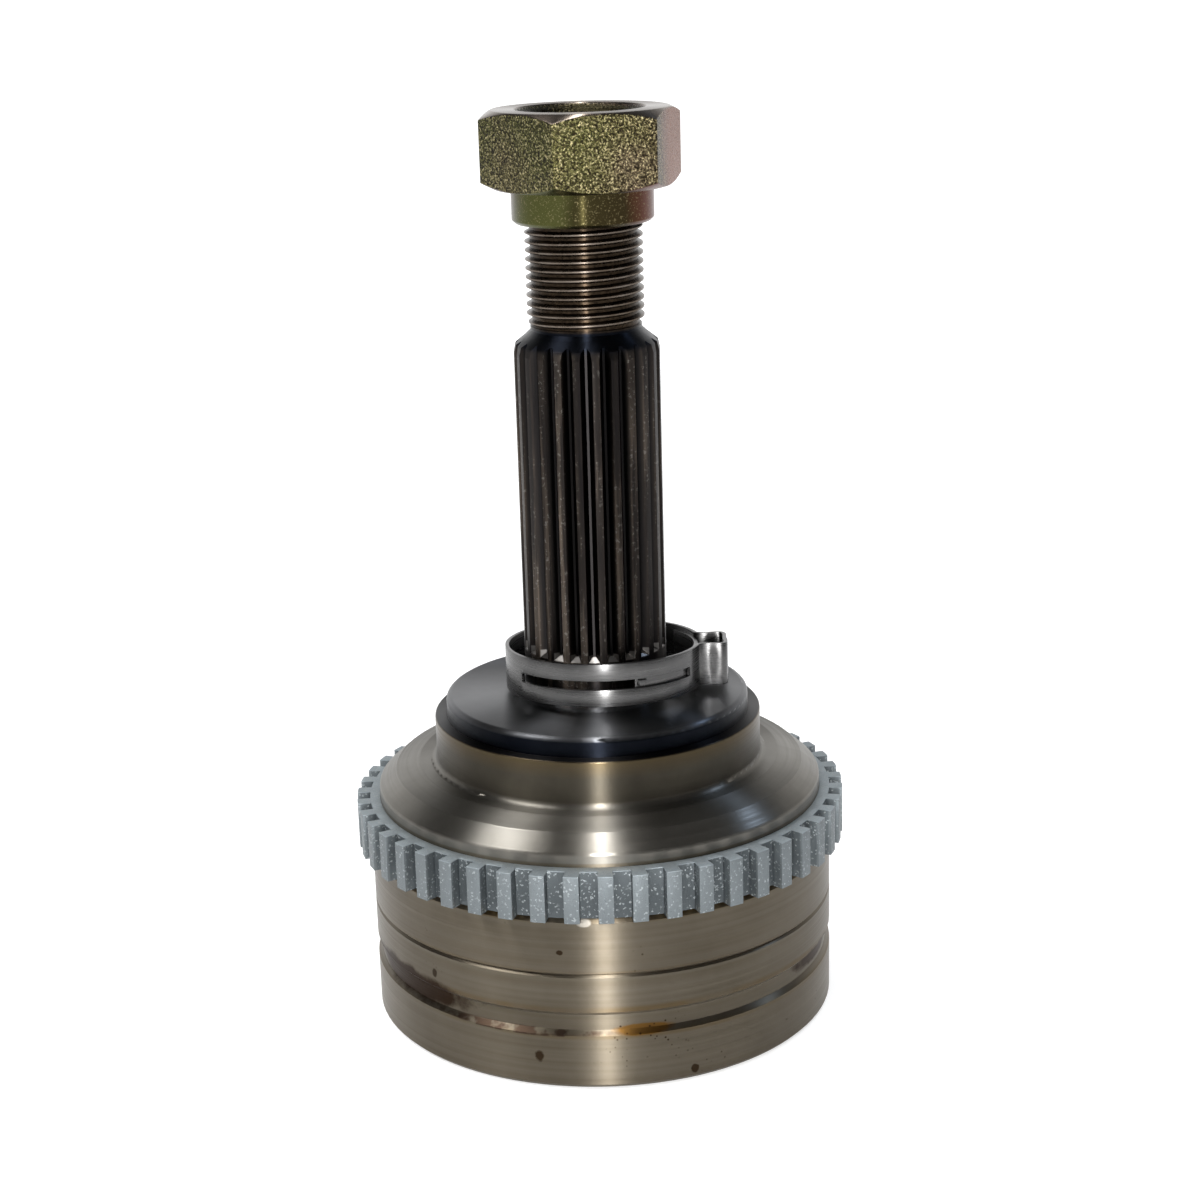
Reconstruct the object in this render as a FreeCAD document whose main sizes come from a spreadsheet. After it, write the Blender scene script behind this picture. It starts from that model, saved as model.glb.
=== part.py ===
"""Fixed ball-type constant velocity joint with its splined and threaded stub.

The origin is the centre of the open mouth. The stub points up, along +Z.
Everything is in millimetres. Balls, cage and inner race share one centre, the
joint centre, which lies on the axis at joint_height.
"""

import FreeCAD
import Part
import Sketcher

import math
import os

doc = FreeCAD.newDocument("ConstantVelocityJoint")
sheet = doc.addObject("Spreadsheet::Sheet", "Sizes")

SIZES = (
    # Bell, outside. Heights run up from the mouth rim.
    ("bell_wall", 3.82, "wall of the bell behind the ball tracks"),
    ("rim_bevel", 0.7, "bevel on the outer edge of the mouth rim"),
    ("boot_groove_height", 9.6, "lower edge of the boot clamp groove"),
    ("boot_groove_width", 4.3, "width of the boot clamp groove"),
    ("boot_groove_depth", 0.8, "depth of the boot clamp groove"),
    ("scribe_height", 20.5, "height of the fine turned line"),
    ("scribe_depth", 0.4, "depth of the fine turned line"),
    ("tone_seat_height", 30.8, "height of the shoulder that carries the tone ring"),
    ("tone_seat_depth", 1.8, "depth of the tone ring seat below the bell"),
    ("shoulder_bevel", 0.9, "bevel below the tone ring"),
    ("dome_lip", 2.2, "upright wall of the dome above the tone ring"),
    ("dome_break", 0.6, "rounded edge of the dome"),
    ("dome_cone_width", 3.1, "width of the polished cone"),
    ("dome_cone_rise", 2.65, "rise of the polished cone"),
    ("ledge_rise", 1.25, "rise from the polished cone to the ledge"),
    ("ledge_width", 3.1, "width of the flat ledge round the journal"),
    ("neck_radius", 28.7, "seal journal radius"),
    ("neck_length", 8.3, "length of the seal journal"),
    ("neck_fillet", 1.1, "fillet where the journal meets the ledge"),
    ("neck_round", 0.3, "broken upper edge of the journal"),
    ("hub_step", 2.1, "step from the journal in to the hub contact disc"),
    ("hub_disc_thickness", 3.45, "thickness of the hub contact disc"),
    ("hub_disc_round", 1.0, "rounded edge of the contact disc"),
    # Stub.
    ("stub_root_fillet", 1.6, "fillet at the root of the stub"),
    ("stub_root_length", 8.35, "plain length of the stub below the spline"),
    ("spline_radius", 12.43, "tip radius of the stub spline"),
    ("spline_depth", 1.1, "tooth depth of the stub spline"),
    ("spline_teeth", 24, "teeth of the stub spline"),
    ("spline_valley", 0.4, "valley width at the tooth root"),
    ("spline_flank", 38.0, "flank angle of the valley from the radius"),
    ("spline_length", 52.1, "length of the stub spline"),
    ("spline_runout", 42.0, "slope of the cone that closes the valleys"),
    ("spline_phase", -1.2, "turn of the spline about the axis"),
    ("lead_shoulder", 1.4, "length of the shallow cone above the spline"),
    ("lead_drop", 0.3, "drop of the shallow cone above the spline"),
    ("lead_length", 1.6, "length of the steep cone above the spline"),
    ("lead_step", 0.7, "step from the steep cone in to the undercut"),
    ("undercut_step", 0.37, "undercut radius over the thread core"),
    ("undercut_length", 1.4, "length of the neck below the thread"),
    ("thread_core_radius", 9.08, "core radius of the M20 by 1.5 thread"),
    ("thread_length", 31.7, "length of the threaded end"),
    ("stub_end_bevel", 1.1, "bevel on the stub end"),
    # Joint inside.
    ("joint_height", 19.5, "height of the joint centre above the mouth"),
    ("ball_radius", 7.9375, "ball radius, five eighths of an inch across"),
    ("ball_count", 6, "number of balls and tracks"),
    ("track_radius", 29.0, "radius of the path that a ball centre follows"),
    ("track_offset", 3.5, "offset of the track centre from the joint centre"),
    ("track_clearance", 0.14, "clearance between ball and track"),
    ("track_play", 1.0, "sideways play of a ball in its track"),
    ("track_sweep", 46.5, "track length each way from its centre"),
    ("sphere_rise", 2.7, "spherical seat of the bell over the ball path"),
    ("sphere_clearance", 0.2, "clearance between spherical seats"),
    ("cage_wall", 4.5, "wall thickness of the cage"),
    ("cage_width", 25.0, "width of the cage along the axis"),
    ("window_clearance", 0.06, "clearance of a ball across its window"),
    ("window_side_clearance", 1.5, "free length of a ball along its window"),
    ("window_corner", 3.0, "corner size of the cage windows"),
    ("race_width", 22.0, "width of the inner race"),
    ("race_bevel", 0.8, "bevel at the bore of the inner race"),
    ("cavity_rise", 27.1, "flat end of the cavity above the joint centre"),
    ("mouth_wall", 4.1, "width of the flat rim round the mouth"),
    ("mouth_flare", 45.0, "half angle of the flared mouth"),
    ("shaft_bore_radius", 10.7, "bore of the inner race over its spline teeth"),
    ("shaft_spline_depth", 0.95, "tooth depth of the inner race spline"),
    ("shaft_spline_teeth", 24, "teeth of the inner race spline"),
    ("shaft_spline_gap", 1.6, "gap between two teeth of the inner race spline"),
    ("circlip_wire", 0.8, "wire radius of the circlip"),
    ("circlip_seat_depth", 0.85, "depth of the circlip groove below the spline"),
    ("circlip_inset", 3.0, "distance of the circlip from the race face"),
    ("circlip_side_clearance", 0.1, "side clearance of the circlip"),
    ("circlip_gap", 40.0, "opening of the circlip"),
    # Tone ring.
    ("tone_ring_height", 8.2, "height of the tone ring"),
    ("tone_rim", 1.8, "wall of the tone ring below its teeth"),
    ("tone_tooth_height", 2.3, "height of the tone ring teeth"),
    ("tone_teeth", 48, "teeth of the tone ring"),
    ("tone_gap", 3.1, "width of the gap between two teeth"),
    ("tone_phase", 4.4, "turn of the tone ring about the axis"),
    ("tone_bevel", 0.5, "bevel on the tooth tips"),
    # Nut.
    ("nut_flats", 30.0, "size across the flats"),
    ("nut_hex_height", 12.8, "height of the hexagon"),
    ("nut_collar_step", 3.05, "step from the flats in to the collar"),
    ("nut_collar_height", 5.8, "height of the collar"),
    ("nut_collar_bevel", 0.6, "bevel on the collar"),
    ("nut_engagement", 14.5, "length of the stub end inside the nut"),
    ("nut_bevel_angle", 28.0, "angle of the bevels on the hexagon"),
    ("nut_turn", 15.0, "azimuth of a corner of the hexagon"),
    ("nut_bore_bevel", 0.9, "bevel at both ends of the nut thread"),
    ("thread_clearance", 0.1, "running clearance between stub core and nut"),
    # Clamp.
    ("clamp_radius", 17.3, "outer radius of the clamp band"),
    ("clamp_band", 0.7, "thickness of the clamp band"),
    ("clamp_height", 7.4, "height of the clamp band"),
    ("clamp_ear_depth", 4.4, "height of the ear above the band"),
    ("clamp_ear_width", 9.2, "width of the ear along the band"),
    ("clamp_ear_round", 1.4, "outer corner size of the ear"),
    ("clamp_slot_height", 1.6, "height of the slot in the band"),
    ("clamp_slot_sweep", 114.0, "length of the slot as an angle"),
    ("clamp_slot_azimuth", 272.0, "azimuth of the middle of the slot"),
    ("clamp_tongue_sweep", 110.0, "length of the inner tongue as an angle"),
    ("clamp_tongue_azimuth", 342.0, "azimuth of the middle of the tongue"),
    ("clamp_lean", 3.5, "lean of the loose clamp"),
    ("clamp_shift", 1.4, "sideways shift of the loose clamp"),
    ("clamp_gap", 0.05, "air under the lowest point of the clamp"),
)

for row, (alias, number, note) in enumerate(SIZES, start=1):
    sheet.set("A%d" % row, note)
    sheet.set("B%d" % row, "%s" % number)
    sheet.setAlias("B%d" % row, alias)
doc.recompute()

AXIS = FreeCAD.Vector(0, 0, 1)
ORIGIN = FreeCAD.Vector(0, 0, 0)
FULL_TURN = 360.0
# Sketcher numbers its origin and axes, and the points of an edge, this way.
V_AXIS, H_AXIS = range(-2, 0)
ROOT = H_AXIS
START, END, CENTRE = range(1, 4)


def size(formula):
    """Return the number that a formula over the sheet gives."""
    return float(sheet.evalExpression(formula))


def bind(item, name, formula):
    """Tie one property of an object to a formula over the sheet."""
    item.setExpression(name, formula)


def new_body(label):
    """Start a sub-part."""
    body = doc.addObject("PartDesign::Body", label)
    body.Label = label
    return body


def plane(body, role):
    """Return one of the body's own origin planes."""
    for feature in body.Origin.OriginFeatures:
        if feature.Role == role:
            return feature
    raise ValueError(role)


def new_sketch(body, name, role, lift="0", turn="0"):
    """Start a sketch on an origin plane, lifted off it and turned in it."""
    sketch = body.newObject("Sketcher::SketchObject", name)
    sketch.AttachmentSupport = [(plane(body, role), "")]
    sketch.MapMode = "FlatFace"
    turned = FreeCAD.Rotation(AXIS, size(turn))
    sketch.AttachmentOffset = FreeCAD.Placement(FreeCAD.Vector(0, 0, size(lift)), turned)
    return sketch


def pin_point(sketch, geometry, point, across, up):
    """Fix a point of a sketch by two formulas, along the sketch axes."""
    for kind, formula, axis in (("DistanceX", across, V_AXIS), ("DistanceY", up, H_AXIS)):
        if formula == "0":
            sketch.addConstraint(Sketcher.Constraint("PointOnObject", geometry, point, axis))
            continue
        index = sketch.addConstraint(
            Sketcher.Constraint(kind, ROOT, START, geometry, point, size(formula)))
        bind(sketch, "Constraints[%d]" % index, formula)


def draw_outline(sketch, corners):
    """Draw a closed outline.

    Each corner is (across, up) or (across, up, turn). With a turn of 1 or -1
    the edge that leaves the corner is an arc about the middle of the up axis,
    at the height given by the fourth entry, run with or against the clock.
    """
    points = [FreeCAD.Vector(size(corner[0]), size(corner[1]), 0) for corner in corners]
    edges = []
    for index, corner in enumerate(corners):
        here = points[index]
        there = points[(index + 1) % len(points)]
        if len(corner) == 2:
            edges.append(sketch.addGeometry(Part.LineSegment(here, there), False))
            continue
        middle = FreeCAD.Vector(0, size(corner[3]), 0)
        radius = (here - middle).Length
        circle = Part.Circle(middle, AXIS, radius)
        first, last = (here, there) if corner[2] > 0 else (there, here)
        start = math.atan2(first.y - middle.y, first.x - middle.x)
        stop = math.atan2(last.y - middle.y, last.x - middle.x)
        edges.append(sketch.addGeometry(Part.ArcOfCircle(circle, start, stop), False))
    for index, corner in enumerate(corners):
        reverse = len(corner) > 2 and corner[2] < 0
        leaving = (edges[index], END if reverse else START)
        before = corners[index - 1]
        reverse = len(before) > 2 and before[2] < 0
        arriving = (edges[index - 1], START if reverse else END)
        sketch.addConstraint(Sketcher.Constraint("Coincident", *arriving, *leaving))
        pin_point(sketch, leaving[0], leaving[1], corner[0], corner[1])
        if len(corner) > 2:
            sketch.addConstraint(
                Sketcher.Constraint("PointOnObject", edges[index], CENTRE, V_AXIS))
    return sketch


def draw_circle(sketch, radius):
    """Draw a circle about the sketch origin."""
    edge = sketch.addGeometry(Part.Circle(ORIGIN, AXIS, size(radius)), False)
    sketch.addConstraint(Sketcher.Constraint("Coincident", edge, CENTRE, ROOT, START))
    index = sketch.addConstraint(Sketcher.Constraint("Radius", edge, size(radius)))
    bind(sketch, "Constraints[%d]" % index, radius)


def draw_track(sketch):
    """Draw the section of a ball track on the up axis of a sketch.

    It is a ball's circle with its clearance, drawn out sideways by the play.
    """
    play = size("Sizes.track_play")
    radius = size(TRACK_RADIUS)
    far = size("Sizes.track_radius")
    quarter = math.pi / 2
    ends = []
    for side, start in ((1, -quarter), (-1, quarter)):
        circle = Part.Circle(FreeCAD.Vector(side * play, far, 0), AXIS, radius)
        arc = Part.ArcOfCircle(circle, start, start + math.pi)
        ends.append(sketch.addGeometry(arc, False))
        sign = "" if side > 0 else "-"
        pin_point(sketch, ends[-1], CENTRE, sign + "Sizes.track_play", "Sizes.track_radius")
        index = sketch.addConstraint(Sketcher.Constraint("Radius", ends[-1], radius))
        bind(sketch, "Constraints[%d]" % index, TRACK_RADIUS)
    for here, there, level in ((0, 1, radius), (1, 0, -radius)):
        line = sketch.addGeometry(Part.LineSegment(
            FreeCAD.Vector(play if here == 0 else -play, far + level, 0),
            FreeCAD.Vector(-play if here == 0 else play, far + level, 0)), False)
        sketch.addConstraint(Sketcher.Constraint("Tangent", ends[here], END, line, START))
        sketch.addConstraint(Sketcher.Constraint("Tangent", line, END, ends[there], START))


def revolve(body, name, sketch, kind="PartDesign::Revolution", axis="V_Axis"):
    """Turn a sketch a full turn about one of its axes."""
    feature = body.newObject(kind, name)
    feature.Profile = sketch
    feature.ReferenceAxis = (sketch, [axis])
    feature.Angle = FULL_TURN
    doc.recompute()
    return feature


def extrude(body, name, sketch, kind, length, midplane=False, reverse=False):
    """Pad or pocket a sketch by a length from the sheet."""
    feature = body.newObject(kind, name)
    feature.Profile = sketch
    feature.Midplane = midplane
    feature.Reversed = reverse
    feature.Length = size(length)
    bind(feature, "Length", length)
    doc.recompute()
    return feature


def repeat(body, name, features, count):
    """Repeat features evenly about the body's own Z axis."""
    pattern = body.newObject("PartDesign::PolarPattern", name)
    pattern.Originals = features
    pattern.Axis = (features[0].Profile[0], ["N_Axis"])
    pattern.Angle = FULL_TURN
    pattern.Occurrences = int(size(count))
    bind(pattern, "Occurrences", count)
    body.Tip = pattern
    doc.recompute()
    return pattern


def rings(feature, places):
    """Name the round edges of a feature at the given radii and heights."""
    names = []
    for index, edge in enumerate(feature.Shape.Edges, start=1):
        curve = edge.Curve
        if not isinstance(curve, Part.Circle):
            continue
        for radius, height in places:
            near = abs(curve.Radius - size(radius)) < TOUCH
            level = abs(curve.Center.z - size(height)) < TOUCH
            if near and level and abs(edge.Length - 2 * math.pi * curve.Radius) < TOUCH:
                names.append("Edge%d" % index)
    return names


def dress(body, name, kind, base, places, amount):
    """Fillet or chamfer the round edges at the given places."""
    feature = body.newObject(kind, name)
    feature.Base = (base, rings(base, places))
    target = "Radius" if kind == "PartDesign::Fillet" else "Size"
    bind(feature, target, amount)
    doc.recompute()
    return feature


TOUCH = 1e-4

# Sizes that follow from others, from the balls outwards.
TRACK_RADIUS = "(Sizes.ball_radius + Sizes.track_clearance)"
BELL_RADIUS = "(Sizes.track_radius + %s + Sizes.bell_wall)" % TRACK_RADIUS
BELL_SPHERE = "(Sizes.track_radius + Sizes.sphere_rise)"
CAGE_OUTER = "(%s - Sizes.sphere_clearance)" % BELL_SPHERE
CAGE_INNER = "(%s - Sizes.cage_wall)" % CAGE_OUTER
RACE_OUTER = "(%s - Sizes.sphere_clearance)" % CAGE_INNER
TONE_SEAT = "(%s - Sizes.tone_seat_depth)" % BELL_RADIUS
TONE_ROOT = "(%s + Sizes.tone_rim)" % TONE_SEAT
TONE_TIP = "(%s + Sizes.tone_tooth_height)" % TONE_ROOT
SPLINE_ROOT = "(Sizes.spline_radius - Sizes.spline_depth)"
UNDERCUT_RADIUS = "(Sizes.thread_core_radius + Sizes.undercut_step)"
LEAD_RADIUS = "(%s + Sizes.lead_step)" % UNDERCUT_RADIUS
HUB_RADIUS = "(Sizes.neck_radius - Sizes.hub_step)"

# Heights that follow from others, from the mouth rim up.
DOME_EDGE = "(Sizes.tone_seat_height + Sizes.tone_ring_height + Sizes.dome_lip)"
CONE_TOP = "(%s + Sizes.dome_cone_rise)" % DOME_EDGE
LEDGE = "(%s + Sizes.ledge_rise)" % CONE_TOP
NECK_TOP = "(%s + Sizes.neck_length)" % LEDGE
HUB_FACE = "(%s + Sizes.hub_disc_thickness)" % NECK_TOP
SPLINE_START = "(%s + Sizes.stub_root_length)" % HUB_FACE
SPLINE_END = "(%s + Sizes.spline_length)" % SPLINE_START
LEAD_EDGE = "(%s + Sizes.lead_shoulder)" % SPLINE_END
LEAD_TOP = "(%s + Sizes.lead_length)" % LEAD_EDGE
THREAD_START = "(%s + Sizes.undercut_length)" % LEAD_TOP
STUB_END = "(%s + Sizes.thread_length)" % THREAD_START

# Bell and stub, one forging. The outline is turned, then the cavity is bored.
bell = new_body("outer_race")
outline = new_sketch(bell, "BellOutline", "XZ_Plane")
GROOVE_FLOOR = "%s - Sizes.boot_groove_depth" % BELL_RADIUS
GROOVE_TOP = "(Sizes.boot_groove_height + Sizes.boot_groove_width)"
draw_outline(outline, (
    ("0", "0"),
    ("%s - Sizes.rim_bevel" % BELL_RADIUS, "0"),
    (BELL_RADIUS, "Sizes.rim_bevel"),
    (BELL_RADIUS, "Sizes.boot_groove_height"),
    (GROOVE_FLOOR, "Sizes.boot_groove_height + Sizes.boot_groove_depth"),
    (GROOVE_FLOOR, "%s - Sizes.boot_groove_depth" % GROOVE_TOP),
    (BELL_RADIUS, GROOVE_TOP),
    (BELL_RADIUS, "Sizes.scribe_height - Sizes.scribe_depth"),
    ("%s - Sizes.scribe_depth" % BELL_RADIUS, "Sizes.scribe_height"),
    (BELL_RADIUS, "Sizes.scribe_height + Sizes.scribe_depth"),
    (BELL_RADIUS, "Sizes.tone_seat_height - Sizes.shoulder_bevel"),
    ("%s - Sizes.shoulder_bevel" % BELL_RADIUS, "Sizes.tone_seat_height"),
    (TONE_SEAT, "Sizes.tone_seat_height"),
    (TONE_SEAT, DOME_EDGE),
    ("%s - Sizes.dome_cone_width" % TONE_SEAT, CONE_TOP),
    ("Sizes.neck_radius + Sizes.ledge_width", LEDGE),
    ("Sizes.neck_radius", LEDGE),
    ("Sizes.neck_radius", NECK_TOP),
    (HUB_RADIUS, NECK_TOP),
    (HUB_RADIUS, HUB_FACE),
    ("Sizes.spline_radius", HUB_FACE),
    ("Sizes.spline_radius", SPLINE_END),
    ("Sizes.spline_radius - Sizes.lead_drop", LEAD_EDGE),
    (LEAD_RADIUS, LEAD_TOP),
    (UNDERCUT_RADIUS, "%s + Sizes.lead_step" % LEAD_TOP),
    (UNDERCUT_RADIUS, THREAD_START),
    ("Sizes.thread_core_radius", THREAD_START),
    ("Sizes.thread_core_radius", "%s - Sizes.stub_end_bevel" % STUB_END),
    ("Sizes.thread_core_radius - Sizes.stub_end_bevel", STUB_END),
    ("0", STUB_END),
))
turned = revolve(bell, "BellTurned", outline)
dress(bell, "DomeRound", "PartDesign::Fillet", turned,
      ((TONE_SEAT, DOME_EDGE),), "Sizes.dome_break")
dress(bell, "JournalFillet", "PartDesign::Fillet", bell.Tip,
      (("Sizes.neck_radius", LEDGE),), "Sizes.neck_fillet")
dress(bell, "JournalRound", "PartDesign::Fillet", bell.Tip,
      (("Sizes.neck_radius", NECK_TOP),), "Sizes.neck_round")
dress(bell, "HubDiscRound", "PartDesign::Fillet", bell.Tip,
      ((HUB_RADIUS, HUB_FACE),), "Sizes.hub_disc_round")
dress(bell, "StubRootFillet", "PartDesign::Fillet", bell.Tip,
      (("Sizes.spline_radius", HUB_FACE),), "Sizes.stub_root_fillet")

# The cavity: a flared mouth, a spherical seat for the cage and a flat end.
# The flare meets the sphere where both have the same radius.
FLARE = "tan(Sizes.mouth_flare * 1deg)"
MOUTH_RADIUS = "(%s - Sizes.mouth_wall)" % BELL_RADIUS
FLARE_REACH = "(%s - Sizes.joint_height * %s)" % (MOUTH_RADIUS, FLARE)
MEET_DROP = ("((-%(reach)s * %(flare)s + sqrt(%(sphere)s ^ 2 * (1 + %(flare)s ^ 2)"
             " - %(reach)s ^ 2)) / (1 + %(flare)s ^ 2))"
             % {"reach": FLARE_REACH, "flare": FLARE, "sphere": BELL_SPHERE})
MEET_RADIUS = "(%s + %s * %s)" % (FLARE_REACH, MEET_DROP, FLARE)
CAVITY_TOP = "(Sizes.joint_height + Sizes.cavity_rise)"
cavity = new_sketch(bell, "CavityOutline", "XZ_Plane")
draw_outline(cavity, (
    ("0", "0"),
    (MOUTH_RADIUS, "0"),
    (MEET_RADIUS, "Sizes.joint_height - %s" % MEET_DROP, 1, "Sizes.joint_height"),
    ("sqrt(%s ^ 2 - Sizes.cavity_rise ^ 2)" % BELL_SPHERE, CAVITY_TOP),
    ("0", CAVITY_TOP),
))
revolve(bell, "Cavity", cavity, "PartDesign::Groove")

# A ball track is a widened circle swung about a point below the joint
# centre, so that the tracks close up towards the blind end of the bell.
section = new_sketch(bell, "TrackSection", "XY_Plane",
                     "Sizes.joint_height - Sizes.track_offset")
draw_track(section)
track = revolve(bell, "Track", section, "PartDesign::Groove", "H_Axis")
track.Midplane = True
bind(track, "Angle", "2 * Sizes.track_sweep")
repeat(bell, "Tracks", [track], "Sizes.ball_count")

# The spline valleys run out through the lead-in cone at the top. At the foot
# they end against a cone, so each valley closes in an arrow point.
OUTSIDE = "(Sizes.spline_radius + Sizes.spline_depth)"
VALLEY_FOOT = "Sizes.spline_valley / 2"
VALLEY_MOUTH = ("Sizes.spline_valley / 2 + 2 * Sizes.spline_depth"
                " * tan(Sizes.spline_flank * 1deg)")
milled = new_sketch(bell, "ValleySection", "XY_Plane", SPLINE_START, "Sizes.spline_phase")
draw_outline(milled, (
    ("-(%s)" % VALLEY_FOOT, SPLINE_ROOT),
    (VALLEY_FOOT, SPLINE_ROOT),
    (VALLEY_MOUTH, OUTSIDE),
    ("-(%s)" % VALLEY_MOUTH, OUTSIDE),
))
cut = extrude(bell, "Valley", milled, "PartDesign::Pocket",
              "%s - %s" % (LEAD_TOP, SPLINE_START), reverse=True)
repeat(bell, "Spline", [cut], "Sizes.spline_teeth")
INWARD = "(Sizes.spline_radius - 2 * Sizes.spline_depth)"
cone = new_sketch(bell, "RunoutOutline", "XZ_Plane")
draw_outline(cone, (
    (INWARD, SPLINE_START),
    ("Sizes.spline_radius", SPLINE_START),
    (INWARD, "%s + 2 * Sizes.spline_depth * tan(Sizes.spline_runout * 1deg)" % SPLINE_START),
))
revolve(bell, "Runout", cone)

# Tone ring, pressed on its seat against the shoulder.
tone = new_body("abs_tone_ring")
ring = new_sketch(tone, "RingOutline", "XZ_Plane")
draw_outline(ring, (
    (TONE_SEAT, "0"),
    ("%s - Sizes.tone_bevel" % TONE_TIP, "0"),
    (TONE_TIP, "Sizes.tone_bevel"),
    (TONE_TIP, "Sizes.tone_ring_height - Sizes.tone_bevel"),
    ("%s - Sizes.tone_bevel" % TONE_TIP, "Sizes.tone_ring_height"),
    (TONE_SEAT, "Sizes.tone_ring_height"),
))
revolve(tone, "Ring", ring)
gap = new_sketch(tone, "GapSection", "XY_Plane", "0", "Sizes.tone_phase")
TONE_CLEAR = "2 * %s - %s" % (TONE_TIP, TONE_ROOT)
draw_outline(gap, (
    ("-Sizes.tone_gap / 2", TONE_ROOT),
    ("Sizes.tone_gap / 2", TONE_ROOT),
    ("Sizes.tone_gap / 2", TONE_CLEAR),
    ("-Sizes.tone_gap / 2", TONE_CLEAR),
))
slot = extrude(tone, "Gap", gap, "PartDesign::Pocket", "Sizes.tone_ring_height", reverse=True)
repeat(tone, "Teeth", [slot], "Sizes.tone_teeth")
bind(tone, "Placement.Base.z", "Sizes.tone_seat_height")

# Cage: a spherical shell with one window for each ball.
cage = new_body("ball_cage")
shell = new_sketch(cage, "CageOutline", "XZ_Plane")
draw_outline(shell, (
    ("sqrt(%s ^ 2 - (Sizes.cage_width / 2) ^ 2)" % CAGE_INNER, "-Sizes.cage_width / 2"),
    ("sqrt(%s ^ 2 - (Sizes.cage_width / 2) ^ 2)" % CAGE_OUTER, "-Sizes.cage_width / 2", 1, "0"),
    ("sqrt(%s ^ 2 - (Sizes.cage_width / 2) ^ 2)" % CAGE_OUTER, "Sizes.cage_width / 2"),
    ("sqrt(%s ^ 2 - (Sizes.cage_width / 2) ^ 2)" % CAGE_INNER, "Sizes.cage_width / 2", -1, "0"),
))
revolve(cage, "Shell", shell)
WINDOW_HALF = "(Sizes.ball_radius + Sizes.window_side_clearance)"
WINDOW_REACH = "(Sizes.ball_radius + Sizes.window_clearance)"
opening = new_sketch(cage, "WindowSection", "XZ_Plane")
draw_outline(opening, (
    ("-(%s) + Sizes.window_corner" % WINDOW_HALF, "-%s" % WINDOW_REACH),
    ("%s - Sizes.window_corner" % WINDOW_HALF, "-%s" % WINDOW_REACH),
    (WINDOW_HALF, "Sizes.window_corner - %s" % WINDOW_REACH),
    (WINDOW_HALF, "%s - Sizes.window_corner" % WINDOW_REACH),
    ("%s - Sizes.window_corner" % WINDOW_HALF, WINDOW_REACH),
    ("-(%s) + Sizes.window_corner" % WINDOW_HALF, WINDOW_REACH),
    ("-(%s)" % WINDOW_HALF, "%s - Sizes.window_corner" % WINDOW_REACH),
    ("-(%s)" % WINDOW_HALF, "Sizes.window_corner - %s" % WINDOW_REACH),
))
window = extrude(cage, "Window", opening, "PartDesign::Pocket", BELL_SPHERE)
windows = cage.newObject("PartDesign::PolarPattern", "Windows")
windows.Originals = [window]
windows.Axis = (opening, ["V_Axis"])
windows.Angle = FULL_TURN
bind(windows, "Occurrences", "Sizes.ball_count")
cage.Tip = windows
bind(cage, "Placement.Base.z", "Sizes.joint_height")

# Inner race. Its track centre lies above the joint centre by the same offset.
race = new_body("inner_race")
star = new_sketch(race, "RaceOutline", "XZ_Plane")
RACE_HALF = "Sizes.race_width / 2"
RACE_EDGE = "sqrt(%s ^ 2 - (Sizes.race_width / 2) ^ 2)" % RACE_OUTER
CLIP_HALF = "(Sizes.circlip_wire + Sizes.circlip_side_clearance)"
CLIP_LEVEL = "(Sizes.race_width / 2 - Sizes.circlip_inset)"
CIRCLIP_SEAT = ("(Sizes.shaft_bore_radius + Sizes.shaft_spline_depth"
                " + Sizes.circlip_seat_depth)")
draw_outline(star, (
    ("Sizes.shaft_bore_radius + Sizes.race_bevel", "-%s" % RACE_HALF),
    (RACE_EDGE, "-%s" % RACE_HALF, 1, "0"),
    (RACE_EDGE, RACE_HALF),
    ("Sizes.shaft_bore_radius + Sizes.race_bevel", RACE_HALF),
    ("Sizes.shaft_bore_radius", "%s - Sizes.race_bevel" % RACE_HALF),
    ("Sizes.shaft_bore_radius", "%s + %s" % (CLIP_LEVEL, CLIP_HALF)),
    (CIRCLIP_SEAT, "%s + %s" % (CLIP_LEVEL, CLIP_HALF)),
    (CIRCLIP_SEAT, "%s - %s" % (CLIP_LEVEL, CLIP_HALF)),
    ("Sizes.shaft_bore_radius", "%s - %s" % (CLIP_LEVEL, CLIP_HALF)),
    ("Sizes.shaft_bore_radius", "Sizes.race_bevel - %s" % RACE_HALF),
))
revolve(race, "Star", star)
groove = new_sketch(race, "RaceTrackSection", "XY_Plane", "Sizes.track_offset")
draw_track(groove)
path = revolve(race, "RaceTrack", groove, "PartDesign::Groove", "H_Axis")
path.Midplane = True
bind(path, "Angle", "3 * Sizes.track_sweep")
repeat(race, "RaceTracks", [path], "Sizes.ball_count")
key = new_sketch(race, "ShaftSplineSection", "XY_Plane")
KEY_HALF = "Sizes.shaft_spline_gap / 2"
KEY_FLOOR = "Sizes.shaft_bore_radius + Sizes.shaft_spline_depth"
KEY_NARROW = "Sizes.shaft_spline_gap / 2 - Sizes.shaft_spline_depth / 2"
draw_outline(key, (
    ("-%s" % KEY_HALF, "Sizes.shaft_bore_radius - Sizes.shaft_spline_depth / 2"),
    (KEY_HALF, "Sizes.shaft_bore_radius - Sizes.shaft_spline_depth / 2"),
    (KEY_NARROW, KEY_FLOOR),
    ("-(%s)" % KEY_NARROW, KEY_FLOOR),
))
keyway = extrude(race, "ShaftSplineGap", key, "PartDesign::Pocket", "Sizes.race_width", True)
repeat(race, "ShaftSpline", [keyway], "Sizes.shaft_spline_teeth")
bind(race, "Placement.Base.z", "Sizes.joint_height")

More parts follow.
